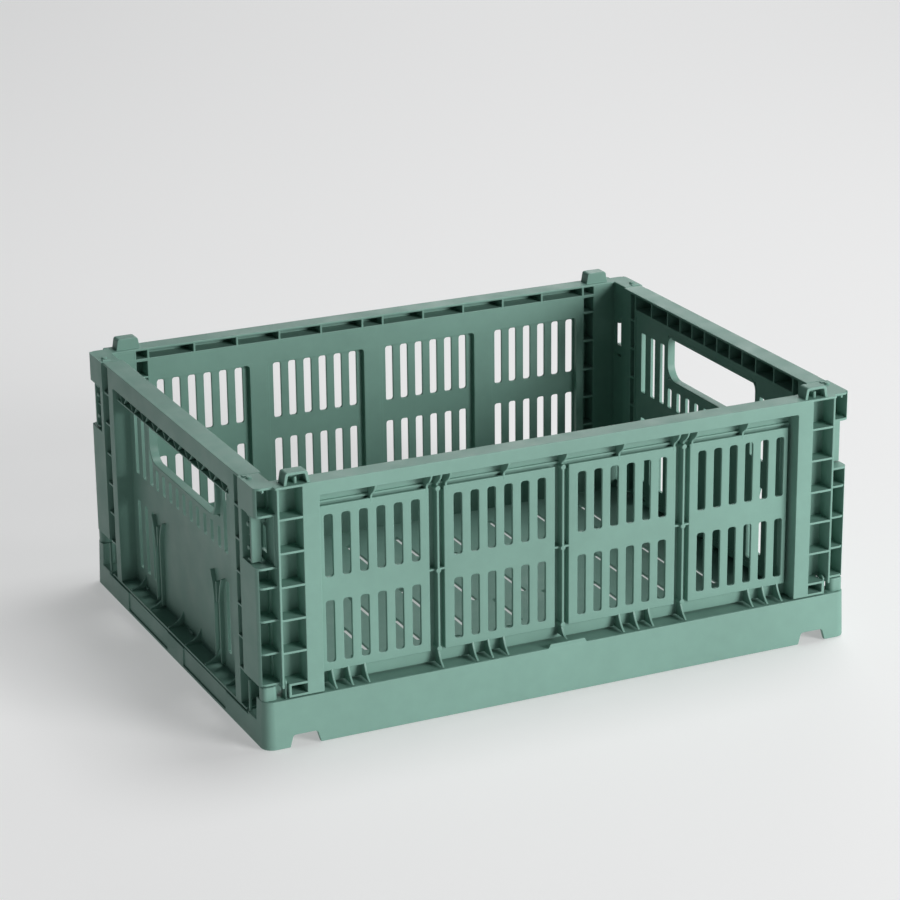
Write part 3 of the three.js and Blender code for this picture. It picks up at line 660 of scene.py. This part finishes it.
def end_half(half):
    """Everything on the end panel that repeats on both sides of its middle, on the +Y side."""
    depth = (END_INNER, END_FACE)
    # edge band, open to the inside, and the ladder beyond it, open to the outside
    behind = (END_INNER, END_FACE - 0.6)
    half.box(behind, (FIELD_HALF_Y + STEP, FIELD_HALF_Y + WALL), (END_BOTTOM, RIM_TOP - 0.6))
    half.box(behind, (END_BAND - WALL, END_BAND - STEP), (END_BOTTOM, RIM_TOP - 0.6))
    half.box((END_INNER, END_INNER + WALL), (END_BAND - 0.9, END_HALF_Y), (END_BOTTOM, RIM_TOP - 0.6))
    half.box((END_INNER + STEP, END_FACE - STEP), (END_BAND - 1, END_HALF_Y),
             (RIM_TOP - WALL + STEP, RIM_TOP - 1.5 * STEP), edge=0.4)
    half.box((END_INNER + STEP, END_FACE - STEP), (END_BAND - 1, END_HALF_Y),
             (END_BOTTOM + STEP, END_BOTTOM + WALL), edge=0.35)
    for z in LADDER_Z:
        half.box(depth, (FIELD_HALF_Y + 0.3, END_HALF_Y - 0.1), (z - RIB / 2, z + RIB / 2), edge=0.25)
    for y in RAIL_RIBS:
        half.box((END_INNER, END_FACE - 0.4), (y - RIB / 2, y + RIB / 2),
                 (END_RIM_UNDER + 0.4, RIM_TOP - 0.3), edge=0.25)
    # gussets on the bottom flange
    for y in END_GUSSETS:
        front = curve((END_FACE - 0.4, END_BOTTOM + 2.2), (164.6, 15.4),
                      (FIELD_SKIN[1] + 0.1, END_GUSSET_TOP), 6)
        outline = front + [(FIELD_SKIN[0] + 0.4, END_GUSSET_TOP),
                           (FIELD_SKIN[0] + 0.4, END_BOTTOM + 0.4),
                           (END_FACE - 0.4, END_BOTTOM + 0.4)]
        half.prism("Y", outline, (y - GUSSET_HALF, y + GUSSET_HALF), edge=0.25)
    # grip above the hand hole: a ledge hung from the rail on zigzag ribs
    low, high = GRIP_Z[0] + 0.4, END_RIM_UNDER + 0.4
    half.box((FIELD_SKIN[1] - 0.4, GRIP_FACE), (-0.2, GRIP_END), GRIP_Z, edge=0.3)
    for i in range(10):
        foot, head = i * GRIP_PITCH, i * GRIP_PITCH + GRIP_LEAN
        if i % 2 == 0:
            foot, head = head, foot
        rib = [(foot, low), (foot + GRIP_RIB, low), (head + GRIP_RIB, high), (head, high)]
        half.prism("X", rib, (FIELD_SKIN[1] - 0.3, GRIP_FACE - 0.3), edge=0.2)
    # raised ribs along the innermost lower slot, parting at their upper ends
    raised = (FIELD_SKIN[1] - 0.4, FIELD_SKIN[1] + 2.4)
    for width in GUIDE_RIBS:
        half.box(raised, width, GUIDE_Z, edge=0.3)
    half.box(raised, (45.2, 46.4), (49.6, 61.0), edge=0.3)
    for side in (-1, 1):
        path = curve((GUIDE_MIDDLE + side * 3.8, 50.0), (GUIDE_MIDDLE + side * 4.0, 57.0),
                     (GUIDE_MIDDLE + side * 8.2, 65.0), 6)
        outline = [(y - 0.6, z) for y, z in path] + [(y + 0.6, z) for y, z in path[::-1]]
        half.prism("X", outline, raised, edge=0.3)


def end_panel():
    mould = Mould()
    full = (-END_HALF_Y, END_HALF_Y)
    half = Mould()
    end_half(half)
    mould.add(half, Matrix.Identity(4))
    mould.add(half, FLIP_Y)
    # field, cut away over the hinge lugs
    over_lugs = [(y - HINGE_GAP, y + HINGE_GAP, END_BOTTOM - 1, HINGE_HOOD, 0, 0) for y in HINGE_Y]
    mould.plate("X", (-FIELD_HALF_Y, FIELD_HALF_Y), (END_BOTTOM, END_RIM_UNDER + WALL), FIELD_SKIN,
                end_holes() + over_lugs, edge=0.3)
    # collar round the hand hole, as an outer and an inner outline
    collar = [rounded(-50 - grow, 50 + grow, 98.4 - grow, 124.4 + grow, 9 + grow, 5 + grow)
              for grow in (1.5, 0.0)]
    mould.sleeve("X", *collar, (FIELD_SKIN[0] - 0.3, 164.6), edge=0.35)
    # bottom flange, cut out round the hinge lugs
    gaps = [(END_INNER - 2, HINGE_X + 3.8, y - HINGE_GAP, y + HINGE_GAP, 0, 0) for y in HINGE_Y]
    mould.plate("Z", (END_INNER, END_FACE - 0.6), full,
                (END_BOTTOM + STEP, HINGE_HOOD + 0.1), gaps, edge=0.1)
    mould.plate("Z", (END_INNER, END_FACE - 0.6), full,
                (HINGE_HOOD, END_BOTTOM + WALL - STEP), edge=0.15)
    mould.plate("X", (-FIELD_HALF_Y, FIELD_HALF_Y), (END_BOTTOM + 0.2, 16.0), (END_INNER, END_INNER + 1.2),
                over_lugs, edge=0.35)
    # outer frame in one: the rail, both edge bands and the edge of the bottom flange
    gap = (-FIELD_HALF_Y, FIELD_HALF_Y, END_BOTTOM + WALL, END_RIM_UNDER, 0.5, 1.0)
    mould.plate("X", (-END_BAND, END_BAND), (END_BOTTOM, RIM_TOP),
                (END_FACE - WALL, END_FACE), [gap], edge=0.5)
    # rail: top plate and the plate under its hollow
    mould.box((END_INNER, END_FACE - 0.6), full, (RIM_TOP - WALL, RIM_TOP - STEP), edge=0.4)
    mould.box((END_INNER, END_FACE - 0.6), (-FIELD_HALF_Y, FIELD_HALF_Y),
              (END_RIM_UNDER + STEP, END_RIM_UNDER + WALL), edge=0.3)
    # knuckles of the hinge
    for y in HINGE_Y:
        width = (y - KNUCKLE_HALF, y + KNUCKLE_HALF)
        mould.box((END_INNER, HINGE_X + 1.9), width, (HINGE_Z + 1.3, 15.4), edge=0.3)
        hoop = [circle(HINGE_X, HINGE_Z, radius) for radius in (1.95, 1.3)]
        mould.sleeve("Y", *hoop, width, edge=0.15)
    return mould


# ---------- base tray ----------
def base_outline(s):
    """Point and outward direction at distance s along the footprint, from the middle of the back."""
    long_run = FOOT_X - BASE_ROUND
    short_run = FOOT_Y - BASE_ROUND
    bend = BASE_ROUND * math.pi / 2
    runs = [(long_run, 90), (2 * short_run, 0), (2 * long_run, -90), (2 * short_run, 180), (long_run, 90)]
    position = Vector((0.0, FOOT_Y))
    for index, (length, facing) in enumerate(runs):
        outward = Vector((math.cos(math.radians(facing)), math.sin(math.radians(facing))))
        along = Vector((outward.y, -outward.x))
        if s <= length + 1e-6 or index == len(runs) - 1:
            return position + along * s, outward
        position += along * length
        s -= length
        centre = position - outward * BASE_ROUND
        if s < bend:
            turn = math.radians(facing - 90 * s / bend)
            direction = Vector((math.cos(turn), math.sin(turn)))
            return centre + direction * BASE_ROUND, direction
        s -= bend
        position = centre + along * BASE_ROUND
    return position, outward


def base_wall(mould):
    """The whole outer wall as one strip that runs round the footprint, with its cut-outs."""
    long_run = FOOT_X - BASE_ROUND
    short_run = FOOT_Y - BASE_ROUND
    bend = BASE_ROUND * math.pi / 2
    right = long_run + bend + short_run  # middle of the +X side
    front = right + short_run + bend + long_run  # middle of the -Y side
    left = front + long_run + bend + short_run
    total = left + short_run + bend + long_run
    bends = [long_run, right + short_run, front + long_run, left + short_run]
    extra = [start + bend * i / 8 for start in bends for i in range(9)]
    notches = []
    middles = (NOTCH_X, front - NOTCH_X, front + NOTCH_X, total - NOTCH_X)
    for middle in middles:
        notches.append((middle - NOTCH_HALF, middle + NOTCH_HALF, -1, NOTCH_TOP, 0, 1.2))
    cuts = []
    for middle in (right, left):
        cuts.append((middle - POCKET_Y[0], middle + POCKET_Y[0], END_LEDGE, ABOVE_ALL, 0, 0))
        for (near, far), bottom in ((POCKET_Y, POCKET_FLOOR), (RECESS_Y, RECESS_BOTTOM)):
            cuts.append((middle - far, middle - near, bottom, ABOVE_ALL, 0, 0))
            cuts.append((middle + near, middle + far, bottom, ABOVE_ALL, 0, 0))

    def flared(s, height):
        """Leans the sides of the stacking notches outward towards their foot."""
        for middle in middles:
            if abs(abs(s - middle) - NOTCH_HALF) < 1.3 and height < NOTCH_TOP:
                return s + math.copysign(NOTCH_FLARE * (1 - height / NOTCH_TOP), s - middle)
        return s

    def bent(co):
        point, outward = base_outline(flared(co.x, co.y))
        flat = point - outward * (co.z + BASE_DRAFT * co.y / BASE_TOP)
        return Vector((flat.x, flat.y, co.y))

    def seam(e):
        return all(v.co.x < TINY for v in e.verts) or all(v.co.x > total - TINY for v in e.verts)

    mould.plate("Z", (0.0, total), (0.0, BASE_TOP), (0.0, BASE_WALL), notches + cuts, edge=0.45,
                extra=extra, keep=seam, shape=bent)


def base_quarter(part):
    """What repeats in all four corners of the base, in the +X, +Y one."""
    inner = FOOT_Y - BASE_DRAFT - 0.6
    side = FOOT_X - BASE_DRAFT - 0.6
    cap = [(161.0, 119.9), (side, 119.9), *arc(side - 5.2, inner - 5.2, 5.2, 0, 90, 6), (161.0, inner)]
    part.prism("Z", cap, (BASE_TOP - 1.5, BASE_TOP), edge=0.45)
    part.box((160.9, 162.3), (116.9, 130.6), (FLOOR[1] - 1, BASE_TOP - 0.4))
    part.box((161.0, 170.6), (119.9, 121.4), (FLOOR[1] - 1, BASE_TOP - 0.3))
    # floor and walls of the pocket beside the corner
    part.box((161.0, 171.6), (108.4, 120.2), (12.1, 13.5))
    part.box((170.0, 171.3), (108.0, 109.3), (11.0, 31.0), edge=0.35)
    part.box((161.2, 171.6), (107.2, 108.6), (FLOOR[1] - 1, 13.5))
    # rounded stub that the corner post stands over
    stub = rounded(163.2, 171.4, 121.8, 128.9, 2.6)
    part.prism("Z", stub, (BASE_TOP - 1, 33.5), edge=0.7)
    # recessed panel of the short wall
    part.box((168.9, RECESS_X), (12.0, 76.6), (0.6, END_LEDGE), edge=0.45)
    part.box((167.9, 171.9), (76.2, 108.4), (END_LEDGE - 1.3, END_LEDGE), edge=0.35)
    part.box((167.9, 171.9), (0.0, 12.7), (END_LEDGE - 1.3, END_LEDGE), edge=0.0)
    # ear and pin of the long panel's hinge
    ear = [(125.0, 22.0), (129.2, 22.0), (129.2, 34.0),
           *arc(SIDE_PIN[0], SIDE_PIN[1] + 0.2, 2.1, 0, 180, 8), (125.0, 34.0)]
    part.prism("X", ear, EAR_X, edge=0.3)
    part.rod("X", *SIDE_PIN, 1.2, (158.4, 160.8), edge=0.25)


def drain_slots():
    slots = []
    half_x, half_y = DRAIN_HALF
    for y, shift in DRAIN_ROWS:
        for k in range(-4, 5):
            x = DRAIN_PITCH * k + shift
            slots.append((x - half_x, x + half_x, y - half_y, y + half_y, 1.3, 1.3))
    return slots


def base_tray():
    mould = Mould()
    base_wall(mould)
    side_in = FOOT_X - BASE_WALL - 0.2
    mould.plate("Z", (-side_in, side_in), (-BEAM_IN - 0.5, BEAM_IN + 0.5), FLOOR, drain_slots(), edge=0.3)
    for side in (-1, 1):
        beam = sorted((side * BEAM_IN, side * (FOOT_Y - 2.0)))
        inner = sorted((side * BEAM_IN, side * (BEAM_IN + 1.6)))
        mould.box((-BEAM_HALF_X, BEAM_HALF_X), beam, (BEAM_LEDGE - 1.6, BEAM_LEDGE), edge=0.35)
        mould.box((-BEAM_HALF_X, BEAM_HALF_X), inner, (FLOOR[0], BEAM_LEDGE), edge=0.45)
        fence = sorted((side * BEAM_IN, side * (BEAM_IN + WALL)))
        mould.box((-FENCE_HALF_X, FENCE_HALF_X), fence, (BEAM_LEDGE - 0.8, FENCE_TOP), edge=0.45)
        # tab in the middle of the long wall's top edge
        tab = [(-12, 25), (12, 25), *arc(9.6, 27.4, 1.0, 30, 90, 3), *arc(-9.6, 27.4, 1.0, 90, 150, 3)]
        mould.prism("Y", tab, sorted((side * 129.9, side * (FOOT_Y - 0.95))), edge=0.35)
    quarter = Mould()
    base_quarter(quarter)
    for turn in (Matrix.Identity(4), FLIP_X, FLIP_Y, HALF_TURN):
        mould.add(quarter, turn)
    # ribs under the floor
    for x in FLOOR_RIBS_X:
        mould.box((x - FLOOR_RIB_HALF, x + FLOOR_RIB_HALF), (-BEAM_IN - 1, BEAM_IN + 1),
                  (5.0, FLOOR[0] + 0.2), edge=0.25)
    for y in FLOOR_RIBS_Y:
        mould.box((-FOOT_X + 2.8, FOOT_X - 2.8), (y - FLOOR_RIB_HALF, y + FLOOR_RIB_HALF),
                  (5.3, FLOOR[0] + 0.4), edge=0.25)
    # lugs and pins of the end panels' hinges
    for end in (-1, 1):
        x = (end * HINGE_X - 1.6, end * HINGE_X + 1.6)
        for y in HINGE_Y:
            near, far = HINGE_LUG
            mould.box(x, (y - far, y - near), (FLOOR[1] - 0.4, HINGE_LUG_TOP), edge=0.3)
            mould.box(x, (y + near, y + far), (FLOOR[1] - 0.4, HINGE_LUG_TOP), edge=0.3)
            mould.rod("Y", end * HINGE_X, HINGE_Z, 0.95, (y - 5, y + 5), edge=0.1)
    return mould


# ---------- pieces ----------
base_tray().piece("base_moulding", base_plastic, "body", "base_tray")

side = long_panel()
side.piece("front_moulding", panel_plastic, "body", "front_panel")
side.piece("back_moulding", panel_plastic, "body", "back_panel", turn=HALF_TURN)

tongue = latch()
tongue.piece("front_right_tongue", latch_plastic, "front_right_latch", "latch_front_right")
tongue.piece("back_left_tongue", latch_plastic, "back_left_latch", "latch_back_left", turn=HALF_TURN)
mirrored_tongue = Mould()
mirrored_tongue.add(tongue, FLIP_X)
mirrored_tongue.piece("front_left_tongue", latch_plastic, "front_left_latch", "latch_front_left")
mirrored_tongue.piece("back_right_tongue", latch_plastic, "back_right_latch", "latch_back_right",
                      turn=HALF_TURN)

end = end_panel()
end.piece("right_end_moulding", end_plastic, "right_end", "right_end_panel")
end.piece("left_end_moulding", end_plastic, "left_end", "left_end_panel", turn=HALF_TURN)


# ---------- floor, light and camera ----------
def pale_floor():
    mesh = bpy.data.meshes.new("floor")
    reach = 8.0
    corners = [(-reach, -reach, 0), (reach, -reach, 0), (reach, reach, 0), (-reach, reach, 0)]
    mesh.from_pydata(corners, [], [(0, 1, 2, 3)])
    floor = bpy.data.objects.new("floor", mesh)
    bpy.context.scene.collection.objects.link(floor)
    floor.location.z = cad_box[0].z - 0.0004
    material = bpy.data.materials.new("pale_floor")
    material.use_nodes = True
    shader = material.node_tree.nodes["Principled BSDF"]
    shader.inputs["Base Color"].default_value = (0.55, 0.55, 0.55, 1)
    shader.inputs["Roughness"].default_value = 0.8
    shader.inputs["Emission Color"].default_value = (1.0, 1.0, 1.0, 1)
    shader.inputs["Emission Strength"].default_value = 0.36
    mesh.materials.append(material)


def area_light(name, place, target, size, power):
    data = bpy.data.lights.new(name, "AREA")
    data.shape = "DISK"
    data.size = size
    data.energy = power
    light = bpy.data.objects.new(name, data)
    bpy.context.scene.collection.objects.link(light)
    light.location = place
    light.rotation_euler = (Vector(target) - Vector(place)).to_track_quat("-Z", "Y").to_euler()


def soft_light():
    area_light("low_key", place=(1.35, -2.15, 0.75), target=(0, 0, 0.08), size=1.3, power=66)
    area_light("top", place=(0.9, 0.3, 2.4), target=(0, 0, 0), size=1.3, power=30)
    area_light("rear", place=(1.6, 2.8, 1.2), target=(0, 0, 0.1), size=1.6, power=15)
    world = bpy.data.worlds.new("studio")
    world.use_nodes = True
    background = world.node_tree.nodes["Background"]
    background.inputs["Color"].default_value = (0.88, 0.96, 1.0, 1)
    background.inputs["Strength"].default_value = 0.07
    bpy.context.scene.world = world
    bpy.context.scene.view_settings.view_transform = "Standard"


def camera():
    data = bpy.data.cameras.new("camera")
    data.lens = 118.0
    data.sensor_width = 36.0
    data.clip_start = 0.05
    made = bpy.data.objects.new("camera", data)
    bpy.context.scene.collection.objects.link(made)
    heading = Matrix.Rotation(math.radians(-24.91), 4, "Z")
    tilt = Matrix.Rotation(math.radians(90 - 19.22), 4, "X")
    roll = Matrix.Rotation(math.radians(-0.6), 4, "Z")
    place = Matrix.Translation((-0.6589, -1.4056, 0.6353))
    made.matrix_world = place @ heading @ tilt @ roll
    bpy.context.scene.camera = made


pale_floor()
soft_light()
camera()
